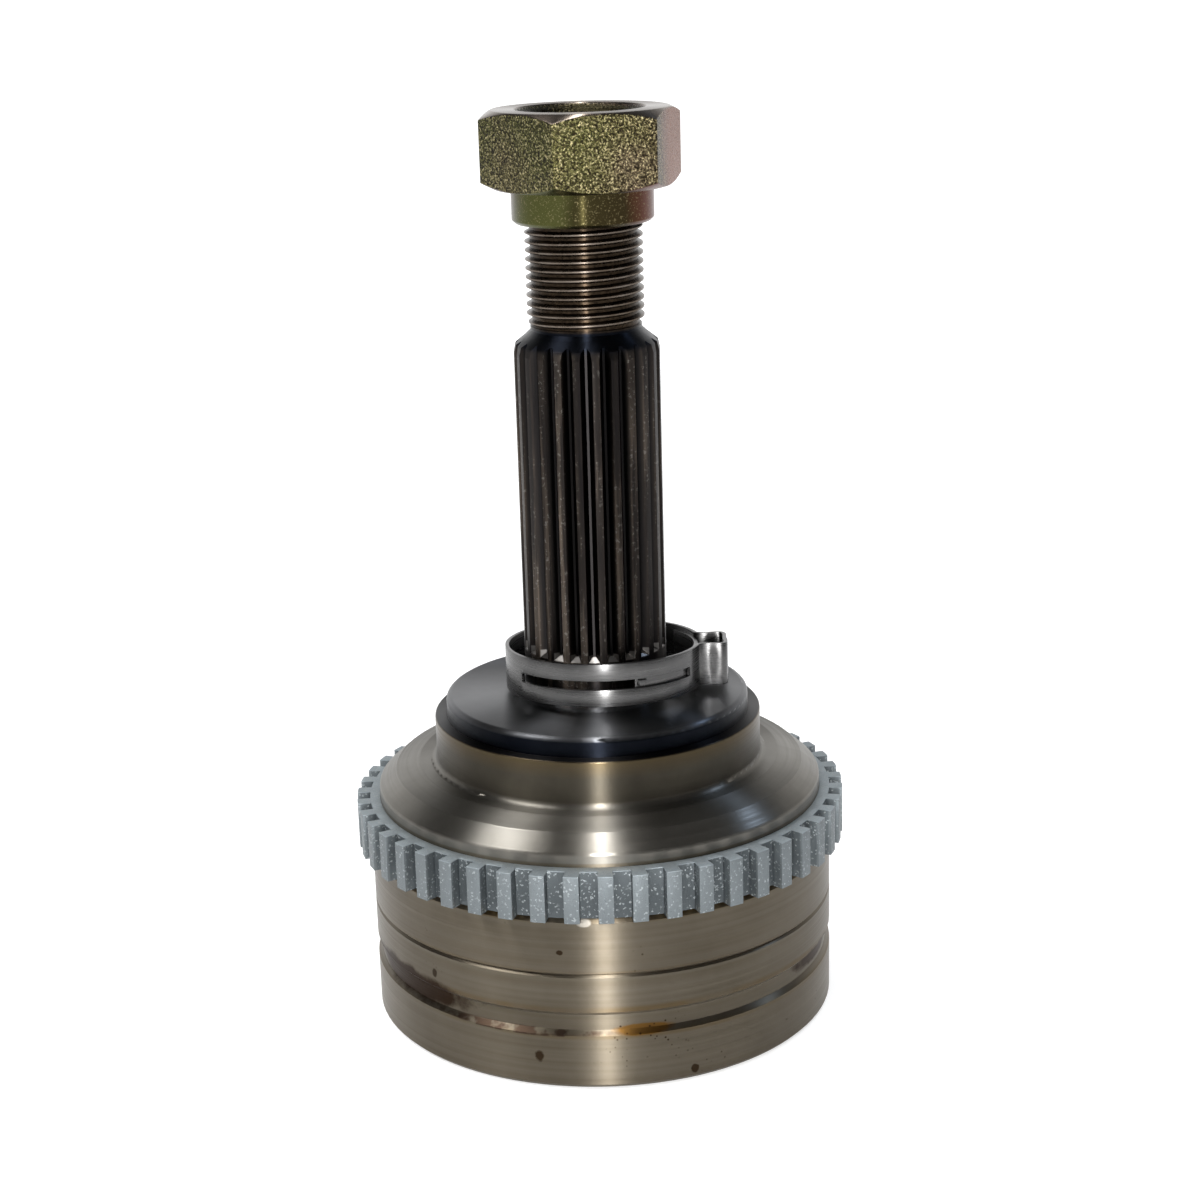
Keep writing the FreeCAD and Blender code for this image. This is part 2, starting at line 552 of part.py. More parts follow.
# Circlip that holds the shaft: an open ring of round wire in the race groove.
clip = doc.addObject("Part::Torus", "retaining_circlip")
clip.Label = "retaining_circlip"
bind(clip, "Radius1", "%s - Sizes.circlip_wire" % CIRCLIP_SEAT)
bind(clip, "Radius2", "Sizes.circlip_wire")
bind(clip, "Angle3", "%s - Sizes.circlip_gap" % FULL_TURN)
bind(clip, "Placement.Base.z", "Sizes.joint_height + %s" % CLIP_LEVEL)

# Balls, in the middle plane of the joint.
PITCH = "sqrt(Sizes.track_radius ^ 2 - Sizes.track_offset ^ 2)"
for number in range(int(size("Sizes.ball_count"))):
    azimuth = "(90deg + %d * 360deg / Sizes.ball_count)" % number
    ball = doc.addObject("Part::Sphere", "ball_%d" % (number + 1))
    ball.Label = "ball_%d" % (number + 1)
    bind(ball, "Radius", "Sizes.ball_radius")
    bind(ball, "Placement.Base.x", "%s * cos%s" % (PITCH, azimuth))
    bind(ball, "Placement.Base.y", "%s * sin%s" % (PITCH, azimuth))
    bind(ball, "Placement.Base.z", "Sizes.joint_height")

# Axle nut: a hexagon with bevelled ends on a round collar.
nut = new_body("axle_nut")
HEX_FOOT = "Sizes.nut_collar_height"
HEX_TOP = "(Sizes.nut_collar_height + Sizes.nut_hex_height)"
HEX_CORNER = "(Sizes.nut_flats / sqrt(3))"
NUT_COLLAR = "(Sizes.nut_flats / 2 - Sizes.nut_collar_step)"
BEVEL_DROP = ("((Sizes.nut_flats / sqrt(3) - Sizes.nut_flats / 2)"
              " * tan(Sizes.nut_bevel_angle * 1deg))")
hexagon = new_sketch(nut, "HexSection", "XY_Plane", HEX_FOOT, "Sizes.nut_turn")
draw_outline(hexagon, [
    ("%s * cos(%ddeg)" % (HEX_CORNER, angle) if angle % 180 != 90 else "0",
     "%s * sin(%ddeg)" % (HEX_CORNER, angle) if angle % 180 != 0 else "0")
    for angle in range(0, 360, 60)
])
extrude(nut, "Hexagon", hexagon, "PartDesign::Pad", "Sizes.nut_hex_height")
for name, level, away in (("UpperBevel", HEX_TOP, "-"), ("LowerBevel", HEX_FOOT, "+")):
    bevel = new_sketch(nut, name + "Section", "XZ_Plane")
    draw_outline(bevel, (
        ("Sizes.nut_flats / 2", level),
        ("2 * %s - Sizes.nut_flats / 2" % HEX_CORNER, level),
        ("2 * %s - Sizes.nut_flats / 2" % HEX_CORNER, "%s %s 2 * %s" % (level, away, BEVEL_DROP)),
    ))
    revolve(nut, name, bevel, "PartDesign::Groove")
collar = new_sketch(nut, "CollarSection", "XY_Plane")
draw_circle(collar, NUT_COLLAR)
extrude(nut, "Collar", collar, "PartDesign::Pad", HEX_FOOT)
dress(nut, "CollarBevel", "PartDesign::Chamfer", nut.Tip,
      ((NUT_COLLAR, "0"),), "Sizes.nut_collar_bevel")
NUT_BORE = "(Sizes.thread_core_radius + Sizes.thread_clearance)"
bore = new_sketch(nut, "BoreSection", "XY_Plane")
draw_circle(bore, NUT_BORE)
extrude(nut, "Bore", bore, "PartDesign::Pocket", HEX_TOP, reverse=True)
dress(nut, "BoreBevel", "PartDesign::Chamfer", nut.Tip,
      ((NUT_BORE, "0"), (NUT_BORE, HEX_TOP)), "Sizes.nut_bore_bevel")
bind(nut, "Placement.Base.z", "%s - Sizes.nut_engagement" % STUB_END)

# Boot clamp: one steel strip with a raised ear, a slot and an inner tongue.
clamp = new_body("boot_clamp")
CLAMP_INNER = "(Sizes.clamp_radius - Sizes.clamp_band)"
TONGUE_INNER = "(Sizes.clamp_radius - 2 * Sizes.clamp_band)"
EAR_TOP = "Sizes.clamp_radius + Sizes.clamp_ear_depth"
EAR_HALF = "Sizes.clamp_ear_width / 2"
band = new_sketch(clamp, "BandSection", "XY_Plane")
draw_circle(band, "Sizes.clamp_radius")
extrude(clamp, "Band", band, "PartDesign::Pad", "Sizes.clamp_height")


def ear_outline(name, inset, foot, rounding):
    """Draw the ear about the right-hand side of the band, inset by a wall."""
    sketch = new_sketch(clamp, name, "XY_Plane")
    half = "(%s - %s)" % (EAR_HALF, inset)
    top = "(%s - %s)" % (EAR_TOP, inset)
    draw_outline(sketch, (
        (foot, "-%s" % half),
        ("%s - %s" % (top, rounding), "-%s" % half),
        (top, "%s - %s" % (rounding, half)),
        (top, "%s - %s" % (half, rounding)),
        ("%s - %s" % (top, rounding), half),
        (foot, half),
    ))
    return sketch


ear = ear_outline("EarSection", "0", "Sizes.clamp_radius / 2", "Sizes.clamp_ear_round")
extrude(clamp, "Ear", ear, "PartDesign::Pad", "Sizes.clamp_height")
inside = new_sketch(clamp, "InsideSection", "XY_Plane")
draw_circle(inside, CLAMP_INNER)
extrude(clamp, "Inside", inside, "PartDesign::Pocket", "Sizes.clamp_height", reverse=True)
hollow = ear_outline("EarHollowSection", "Sizes.clamp_band", CLAMP_INNER + " - Sizes.clamp_band",
                     "(Sizes.clamp_ear_round - Sizes.clamp_band / 2)")
extrude(clamp, "EarHollow", hollow, "PartDesign::Pocket", "Sizes.clamp_height", reverse=True)


def band_piece(name, inner, outer, foot, height, sweep, middle, kind):
    """Add to or cut from the band a strip that follows it part of the way."""
    sketch = new_sketch(clamp, name + "Section", "XZ_Plane")
    draw_outline(sketch, (
        (inner, foot),
        (outer, foot),
        (outer, "%s + %s" % (foot, height)),
        (inner, "%s + %s" % (foot, height)),
    ))
    turn = FreeCAD.Rotation(FreeCAD.Vector(0, 1, 0), size(middle))
    sketch.AttachmentOffset = FreeCAD.Placement(ORIGIN, turn)
    feature = clamp.newObject(kind, name)
    feature.Profile = sketch
    feature.ReferenceAxis = (sketch, ["V_Axis"])
    feature.Midplane = True
    bind(feature, "Angle", sweep)
    doc.recompute()
    return feature


band_piece("Tongue", TONGUE_INNER, CLAMP_INNER, "Sizes.clamp_band", "Sizes.clamp_height"
           " - 2 * Sizes.clamp_band", "Sizes.clamp_tongue_sweep",
           "Sizes.clamp_tongue_azimuth", "PartDesign::Revolution")
band_piece("Slot", CLAMP_INNER, "Sizes.clamp_radius + Sizes.clamp_band",
           "(Sizes.clamp_height - Sizes.clamp_slot_height) / 2", "Sizes.clamp_slot_height",
           "Sizes.clamp_slot_sweep", "Sizes.clamp_slot_azimuth", "PartDesign::Groove")
lean = size("Sizes.clamp_lean")
rise = "%s + Sizes.clamp_gap + Sizes.clamp_radius * sin(Sizes.clamp_lean * 1deg)" % HUB_FACE
clamp.Placement = FreeCAD.Placement(
    FreeCAD.Vector(size("Sizes.clamp_shift"), 0, size(rise)),
    FreeCAD.Rotation(FreeCAD.Vector(1, 0, 0), -lean))

doc.recompute()

SUB_PARTS = [bell, tone, cage, race, clip, nut, clamp]
SUB_PARTS += [item for item in doc.Objects if item.TypeId == "Part::Sphere"]

for item in doc.Objects:
    if "Invalid" in item.State or "Error" in item.State:
        raise RuntimeError("%s failed: %s" % (item.Name, item.State))
for item in SUB_PARTS:
    if item.Shape.isNull() or not item.Shape.isValid() or len(item.Shape.Solids) != 1:
        raise RuntimeError("%s has no sound solid" % item.Label)

os.makedirs("parts", exist_ok=True)
for item in SUB_PARTS:
    item.Shape.exportStep("parts/%s.step" % item.Label)
    box = item.Shape.BoundBox
    print("%-18s volume %9.1f  z %7.2f to %7.2f  x %7.2f to %7.2f" % (
        item.Label, item.Shape.Volume, box.ZMin, box.ZMax, box.XMin, box.XMax))
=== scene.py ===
"""Fixed constant velocity joint with tone ring, nut and loose clamp."""

import math

import bmesh
import bpy
from mathutils import Matrix, Vector


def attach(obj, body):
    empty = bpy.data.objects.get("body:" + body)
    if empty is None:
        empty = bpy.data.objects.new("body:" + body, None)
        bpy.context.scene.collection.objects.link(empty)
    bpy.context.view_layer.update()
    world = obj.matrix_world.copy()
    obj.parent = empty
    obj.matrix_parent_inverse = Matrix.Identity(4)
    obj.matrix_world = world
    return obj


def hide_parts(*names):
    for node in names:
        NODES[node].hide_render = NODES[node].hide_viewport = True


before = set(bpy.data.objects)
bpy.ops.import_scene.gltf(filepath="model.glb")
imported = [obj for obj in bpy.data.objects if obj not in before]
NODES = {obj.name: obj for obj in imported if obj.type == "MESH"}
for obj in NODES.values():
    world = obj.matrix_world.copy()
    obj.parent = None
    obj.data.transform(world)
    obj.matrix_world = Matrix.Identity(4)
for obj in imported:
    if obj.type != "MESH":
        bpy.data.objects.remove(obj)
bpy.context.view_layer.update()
MM = 0.001
TURN = 2 * math.pi

# Sizes in mm and degrees. They follow the solids.
THREAD_PITCH = 1.5
THREAD_FOOT, THREAD_CREST = 8.93, 9.95
THREAD_LOW, THREAD_HIGH = 121.6, 152.2

NUT_FOOT = 138.9
HEX_FOOT, HEX_TOP = 5.8, 18.6                    # above NUT_FOOT
HALF_FLATS = 15.0
NUT_BEVEL_RADIUS = 14.8
NUT_BEVEL_SLOPE = math.tan(math.radians(28.0))
NUT_TURN = 15.0
NUT_THREAD_FOOT, NUT_THREAD_CREST = 10.25, 9.2
NUT_THREAD_LOW, NUT_THREAD_HIGH = 15.2, 17.3     # above NUT_FOOT

BAND_RADIUS = 16.95
BAND_LEVELS = (0.0, 2.9, 4.5, 7.4)
SLOT_LEVEL = 1                                   # second step of BAND_LEVELS
SLOT_MIDDLE, SLOT_HALF = 272.0, 57.0
BAND_THICKNESS = 0.66
TONGUE_RADIUS = BAND_RADIUS - 0.72
TONGUE_FROM, TONGUE_TO = 288.0, 397.0
TONGUE_LEVELS = (0.7, 2.6, 4.8, 6.7)
HOOK = ((290.0, 0.962), (291.0, 0.985), (294.0, 0.99), (294.6, 0.962))
HOOK_LEVELS = (3.2, 4.2)
HALF_EAR = (
    (16.35, -4.35), (17.1, -4.05), (18.4, -3.95), (19.9, -4.15),
    (20.95, -4.0), (21.35, -3.0), (21.4, -1.5), (21.3, 0.0))
CLAMP_SHIFT, CLAMP_BASE, CLAMP_LEAN = 1.4, 57.96, 3.5

RING_TEETH, RING_TURN, RING_GAP = 48, 4.4, 3.1
RING_TIP, RING_ROOT, RING_SEAT = 43.2, 40.9, 39.12
RING_LOW, RING_HIGH = 30.8, 39.0

# Where each finish of the forging begins, as heights in mm.
POLISHED_FROM = 39.6
NECK_FROM = 45.6
NECK_TINT = (50.2, 53.0)
DISC_WALL_FROM = 53.3
DISC_TOP_FROM = 56.3
STUB_FROM = 57.4
# Heights of the painted highlight at the foot of each spline valley.
SPLINE_FOOT_HIGHLIGHT = (66.65, 66.45)
SPLINE_WEAR = (113.0, 104.0)
LEAD_FROM = 118.6
BELL_SIDE_TOP = 30.9

# Heat tint beside turned edges: height, half width, strength. The band at 30.4, just under the
# tone ring, is partly painted shade under the ring.
EDGE_TINTS_AND_SHADE = ((30.4, 0.9, 0.75), (14.2, 0.8, 0.55), (9.4, 0.6, 0.40), (20.9, 0.5, 0.30))
# Small rust spots: azimuth, half sweep, height, half height.
RUST_SPOTS = (
    (-100.5, 0.9, 24.6, 0.55), (-135.0, 0.9, 16.4, 0.9), (-106.0, 1.5, 5.6, 1.2),
    (-69.0, 1.1, 1.9, 0.8), (35.0, 1.6, 6.0, 1.0), (110.0, 1.2, 25.0, 0.8))
# Burnt oil in the groove: azimuth, half sweep, height, half height, ragged edge.
OIL_PATCHES = (
    (-148.0, 27.0, 12.6, 3.0, 0.5), (-24.0, 13.0, 12.6, 1.8, 0.5), (70.0, 34.0, 12.0, 2.2, 0.6))


# ---------------------------------------------------------------- shader help
class Graph:
    """A node tree with short calls."""

    def __init__(self, name):
        self.material = bpy.data.materials.new(name)
        self.material.use_nodes = True
        self.tree = self.material.node_tree
        self.bsdf = self.tree.nodes["Principled BSDF"]
        self.point = self.node("ShaderNodeTexCoord").outputs["Object"]
        parts = self.node("ShaderNodeSeparateXYZ")
        self.link(self.point, parts.inputs[0])
        self.x, self.y, self.z = parts.outputs

    def node(self, kind, **settings):
        made = self.tree.nodes.new(kind)
        for key, value in settings.items():
            setattr(made, key, value)
        return made

    def link(self, source, target):
        self.tree.links.new(source, target)

    def feed(self, socket, value):
        if hasattr(value, "is_output"):
            self.link(value, socket)
        else:
            socket.default_value = value

    def math(self, operation, first, second=0.0):
        made = self.node("ShaderNodeMath", operation=operation)
        self.feed(made.inputs[0], first)
        self.feed(made.inputs[1], second)
        return made.outputs[0]

    def product(self, first, *others):
        for other in others:
            first = self.math("MULTIPLY", first, other)
        return first

    def inverse(self, value):
        return self.math("SUBTRACT", 1.0, value)

    def length(self, first, second):
        squares = self.math("ADD", self.product(first, first), self.product(second, second))
        return self.math("SQRT", squares)

    def height(self):
        """Height above the mouth, in mm."""
        return self.product(self.z, 1.0 / MM)

    def across(self):
        """Distance from the axis, in mm."""
        return self.product(self.length(self.x, self.y), 1.0 / MM)

    def scaled(self, factors):
        made = self.node("ShaderNodeVectorMath", operation="MULTIPLY")
        self.link(self.point, made.inputs[0])
        made.inputs[1].default_value = factors
        return made.outputs[0]

    def noise(self, scale, detail=2.0, rough=0.5, vector=None):
        made = self.node("ShaderNodeTexNoise")
        self.link(vector or self.point, made.inputs["Vector"])
        made.inputs["Scale"].default_value = scale
        made.inputs["Detail"].default_value = detail
        made.inputs["Roughness"].default_value = rough
        return made.outputs["Fac"]

    def cells(self, scale, output="Distance"):
        made = self.node("ShaderNodeTexVoronoi")
        self.link(self.point, made.inputs["Vector"])
        made.inputs["Scale"].default_value = scale
        return made.outputs[output]

    def ramp(self, value, stops):
        made = self.node("ShaderNodeValToRGB")
        elements = made.color_ramp.elements
        while len(elements) < len(stops):
            elements.new(0.5)
        for element, (place, color) in zip(elements, stops):
            element.position = place
            element.color = (*color, 1.0)
        self.link(value, made.inputs[0])
        return made.outputs[0]

    def tones(self, value, dark, light):
        """Two colours, blended where a noise runs."""
        return self.ramp(value, ((0.3, dark), (0.7, light)))

    def span(self, value, low, high, to_low=0.0, to_high=1.0):
        made = self.node("ShaderNodeMapRange")
        self.feed(made.inputs["Value"], value)
        made.inputs["From Min"].default_value = low
        made.inputs["From Max"].default_value = high
        made.inputs["To Min"].default_value = to_low
        made.inputs["To Max"].default_value = to_high
        return made.outputs[0]

    def mix(self, factor, first, second):
        """Blend two colours."""
        made = self.node("ShaderNodeMix", data_type="RGBA")
        self.feed(made.inputs[0], factor)
        for index, value in ((6, first), (7, second)):
            if not hasattr(value, "is_output"):
                value = (*value, 1.0)
            self.feed(made.inputs[index], value)
        return made.outputs[2]

    def blend(self, factor, first, second):
        """Blend two numbers."""
        made = self.node("ShaderNodeMix", data_type="FLOAT")
        self.feed(made.inputs[0], factor)
        self.feed(made.inputs[2], first)
        self.feed(made.inputs[3], second)
        return made.outputs[0]

    def bump(self, height, strength, distance, normal=None):
        made = self.node("ShaderNodeBump")
        self.link(height, made.inputs["Height"])
        made.inputs["Strength"].default_value = strength
        made.inputs["Distance"].default_value = distance
        if normal is not None:
            self.link(normal, made.inputs["Normal"])
        return made.outputs[0]

    def turned(self, amount):
        """Stretch highlights across the turning marks about Z."""
        tangent = self.node("ShaderNodeTangent", direction_type="RADIAL", axis="Z")
        self.link(tangent.outputs[0], self.bsdf.inputs["Tangent"])
        self.bsdf.inputs["Anisotropic"].default_value = amount
        self.bsdf.inputs["Anisotropic Rotation"].default_value = 0.25

    def finish(self, color, rough, metallic=1.0, normal=None):
        self.link(color, self.bsdf.inputs["Base Color"])
        self.link(rough, self.bsdf.inputs["Roughness"])
        self.bsdf.inputs["Metallic"].default_value = metallic
        if normal is not None:
            self.link(normal, self.bsdf.inputs["Normal"])
        return self.material


# ------------------------------------------------------------------ mesh help
def shade(piece, angle):
    mesh = piece.data
    mesh.shade_smooth()
    mesh.set_sharp_from_angle(angle=math.radians(angle))


def make_piece(name, bm, body, material, smooth_angle):
    """Make an object of a mesh, give it a body and a material."""
    bmesh.ops.recalc_face_normals(bm, faces=bm.faces)
    mesh = bpy.data.meshes.new(name)
    bm.to_mesh(mesh)
    bm.free()
    piece = bpy.data.objects.new(name, mesh)
    bpy.context.scene.collection.objects.link(piece)
    mesh.materials.append(material)
    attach(piece, body)
    shade(piece, smooth_angle)
    return piece


def bevel(piece, width, segments, angle):
    made = piece.modifiers.new("Bevel", "BEVEL")
    made.width = width * MM
    made.segments = segments
    made.limit_method = "ANGLE"
    made.angle_limit = math.radians(angle)


def apply_modifiers(piece):
    """Replace the mesh of a piece by its evaluated mesh."""
    graph = bpy.context.evaluated_depsgraph_get()
    mesh = bpy.data.meshes.new_from_object(piece.evaluated_get(graph))
    piece.modifiers.clear()
    piece.data = mesh


def ring_of_points(bm, outline, angle):
    """Place an outline of (radius, height) in mm at an angle about Z."""
    c, s = math.cos(angle), math.sin(angle)
    return [bm.verts.new((r * c * MM, r * s * MM, z * MM)) for r, z in outline]


def join_rings(bm, rings):
    """Close the skin round a full circle of outlines."""
    for k, here in enumerate(rings):
        there = rings[(k + 1) % len(rings)]
        for n in range(len(here)):
            m = (n + 1) % len(here)
            bm.faces.new((here[n], there[n], there[m], here[m]))


# ------------------------------------------------------------------ materials
def spline_color(g, fine, streak, height, across):
    """Dark valleys, darker towards their floor; tips worn brighter; a painted highlight at the
    foot of each valley and painted glints on the tips.
    """
    tip = g.span(across, 12.1, 12.42)
    color = g.ramp(streak, ((0.35, (0.018, 0.016, 0.016)), (0.62, (0.042, 0.035, 0.030))))
    worn = g.product(tip, g.span(streak, 0.50, 0.66), g.span(height, *SPLINE_WEAR, 0.25, 1.0))
    color = g.mix(worn, color, (0.125, 0.100, 0.080))
    # Darker towards the floor of each valley.
    color = g.mix(g.span(across, 12.25, 11.7), color, (0.014, 0.013, 0.013))
    # Painted highlight on the run-out at the foot of each valley.
    foot = g.product(
        g.span(height, *SPLINE_FOOT_HIGHLIGHT), g.span(across, 11.35, 11.5), g.span(across, 12.36, 12.28))
    color = g.mix(foot, color, (0.20, 0.19, 0.18))
    # Painted glints: bright specks on the tooth tips stand in for highlights.
    painted_glint = g.product(tip, g.span(fine, 0.58, 0.64), g.span(streak, 0.46, 0.56), 0.6)
    return g.mix(painted_glint, color, (0.24, 0.225, 0.205))


def bell_marks(g, color, height, on_bell):
    """Burnt oil, an amber stain, rust and a small ding. Return colour and oil."""
    ragged = g.product(g.math("SUBTRACT", g.noise(260.0, 4.0, 0.65), 0.5), 1.6)
    azimuth = g.math("ARCTAN2", g.y, g.x)

    def patch(degrees, half_sweep, level, half_level, rough_edge=1.0):
        """1 inside a spot with ragged edges, given in degrees and mm."""
        sideways = g.product(g.math("SUBTRACT", azimuth, math.radians(degrees)),
                             1.0 / math.radians(half_sweep))
        upwards = g.product(g.math("SUBTRACT", height, level), 1.0 / half_level)
        away = g.math("ADD", g.length(sideways, upwards), g.product(ragged, rough_edge))
        return g.span(away, 1.0, 0.7)

    def widest(first, *others):
        for other in others:
            first = g.math("MAXIMUM", first, other)
        return first

    oil = g.product(widest(*(patch(*spot) for spot in OIL_PATCHES)), on_bell)
    color = g.mix(g.product(oil, 0.95), color, (0.030, 0.014, 0.006))
    amber = g.product(patch(-81.0, 8.0, 10.3, 1.0, 0.3), on_bell, 0.85)
    color = g.mix(amber, color, (0.16, 0.075, 0.010))
    speckle = g.span(g.cells(900.0), 0.10, 0.22, 1.0, 0.0)
    pits = g.product(speckle, g.span(g.noise(75.0, 3.0), 0.60, 0.66), on_bell)
    pits = widest(pits, *(g.product(patch(*spot), on_bell) for spot in RUST_SPOTS))
    color = g.mix(g.product(pits, 0.9), color, (0.028, 0.015, 0.006))
    pitted = g.product(
        patch(-112.0, 26.0, 9.9, 0.7, 0.2), g.span(g.noise(300.0, 3.0), 0.45, 0.55), on_bell)
    color = g.mix(pitted, color, (0.060, 0.040, 0.028))
    ding = g.product(patch(-94.5, 1.9, 29.9, 0.75, 0.35), on_bell)
    return g.mix(ding, color, (0.42, 0.39, 0.34)), oil


def steel_machined():
    """The whole forging: each zone along Z has its own finish."""
    g = Graph("forged_steel_finish")
    height, across = g.height(), g.across()
    soft = g.noise(60.0, 4.0, 0.6)
    fine = g.noise(1600.0, 3.0, 0.6)
    rings = g.noise(1.0, 3.0, 0.7, g.scaled((20.0, 20.0, 5200.0)))
    wide_rings = g.noise(1.0, 2.0, 0.6, g.scaled((8.0, 8.0, 900.0)))
    streak = g.noise(1.0, 4.0, 0.65, g.scaled((420.0, 420.0, 22.0)))

    def above(level, soften=0.12):
        return g.span(height, level - soften, level + soften)

    body = g.tones(soft, (0.112, 0.094, 0.068), (0.148, 0.126, 0.094))
    body = g.mix(g.span(wide_rings, 0.35, 0.7, 0.0, 0.40), body, (0.190, 0.168, 0.134))
    polished = g.tones(soft, (0.165, 0.154, 0.134), (0.24, 0.228, 0.203))
    # The neck is darker than the body partly as a painted reflection of the dark surroundings it
    # mirrors.
    neck = g.tones(soft, (0.060, 0.053, 0.041), (0.095, 0.085, 0.066))
    disc = g.tones(soft, (0.085, 0.087, 0.092), (0.15, 0.153, 0.160))
    black = g.tones(soft, (0.004, 0.005, 0.008), (0.012, 0.014, 0.019))
    thread = g.tones(fine, (0.028, 0.020, 0.014), (0.080, 0.056, 0.036))
    inside = g.tones(soft, (0.16, 0.155, 0.15), (0.26, 0.255, 0.25))

    color = g.mix(above(POLISHED_FROM), body, polished)
    color = g.mix(above(NECK_FROM, 0.6), color, neck)
    on_bell = g.product(g.span(across, 38.6, 39.2), g.inverse(above(BELL_SIDE_TOP)))
    uneven = g.span(g.noise(70.0, 3.0), 0.35, 0.6)
    # Brown bands beside edges; the one under the tone ring is partly painted shade.
    for level, half, strength in EDGE_TINTS_AND_SHADE:
        beside = g.math("ABSOLUTE", g.math("SUBTRACT", height, level))
        band = g.product(g.span(beside, half, half * 0.3, 0.0, strength), on_bell, uneven)
        color = g.mix(band, color, (0.125, 0.078, 0.026))
    color = g.mix(g.span(height, *NECK_TINT, 0.0, 0.55), color, (0.12, 0.085, 0.04))
    color = g.mix(above(DISC_WALL_FROM), color, g.mix(above(DISC_TOP_FROM, 0.35), black, disc))
    stub = g.product(g.inverse(g.span(across, 13.2, 14.2)), above(STUB_FROM, 0.4))
    color = g.mix(stub, color, spline_color(g, fine, streak, height, across))
    color = g.mix(above(LEAD_FROM, 0.5), color, black)
    color = g.mix(above(THREAD_LOW, 0.3), color, thread)
    color, oil = bell_marks(g, color, height, on_bell)

    # Bright bored faces inside the bell; the dome's outside is left out.
    dome_skin = g.product(g.span(across, 27.0, 27.5), g.span(height, 42.2, 43.2))
    hollow = g.product(g.inverse(g.span(across, 36.5, 37.0)),
                       g.inverse(g.span(height, 46.7, 47.0)), g.inverse(dome_skin))
    color = g.mix(hollow, color, inside)

    rough = g.span(rings, 0.3, 0.7, 0.30, 0.42)
    rough = g.blend(stub, rough, g.span(streak, 0.3, 0.7, 0.30, 0.50))
    rough = g.blend(above(THREAD_LOW, 0.3), rough, 0.38)
    rough = g.math("ADD", rough, g.product(oil, 0.08))
    g.turned(0.96)
    grit = g.bump(fine, 0.08, 0.00006, g.bump(rings, 0.10, 0.00006))
    return g.finish(color, rough, 1.0, grit)


def zinc_sintered():
    """Grainy zinc with gaps darkened by dirt and painted shade, worn tooth tips, a top face
    painted paler as lit from above, and painted sparkle.
    """
    g = Graph("zinc_steel_finish")
    height, across = g.height(), g.across()
    soft = g.noise(110.0, 4.0, 0.6)
    grain = g.noise(3600.0, 3.0, 0.7)
    painted_sparkle = g.node("ShaderNodeSeparateXYZ")
    g.link(g.cells(3600.0, "Color"), painted_sparkle.inputs[0])
    color = g.tones(soft, (0.100, 0.115, 0.122), (0.140, 0.159, 0.168))
    # Gaps darker: dirt and painted shade between the teeth.
    gap_dirt_and_shade = g.span(across, RING_ROOT + 0.7, RING_ROOT + 0.3, 0.0, 0.75)
    on_tip = g.span(across, RING_TIP - 0.6, RING_TIP - 0.3, 0.0, 0.7)
    # Painted light: the top face made paler, as lit from above.
    painted_top_light = g.span(height, RING_HIGH - 0.15, RING_HIGH - 0.07, 0.0, 0.9)
    color = g.mix(gap_dirt_and_shade, color, (0.076, 0.087, 0.093))
    color = g.mix(on_tip, color, (0.205, 0.230, 0.242))
    color = g.mix(painted_top_light, color, (0.30, 0.34, 0.36))
    # Painted sparkle: bright specks standing in for glints on the grains.
    color = g.mix(g.span(painted_sparkle.outputs[0], 0.88, 0.98), color, (0.33, 0.36, 0.37))
    color = g.mix(g.span(grain, 0.40, 0.30, 0.0, 0.6), color, (0.07, 0.082, 0.09))
    rough = g.span(grain, 0.3, 0.7, 0.40, 0.58)
    return g.finish(color, rough, 0.7, g.bump(grain, 0.8, 0.00012))


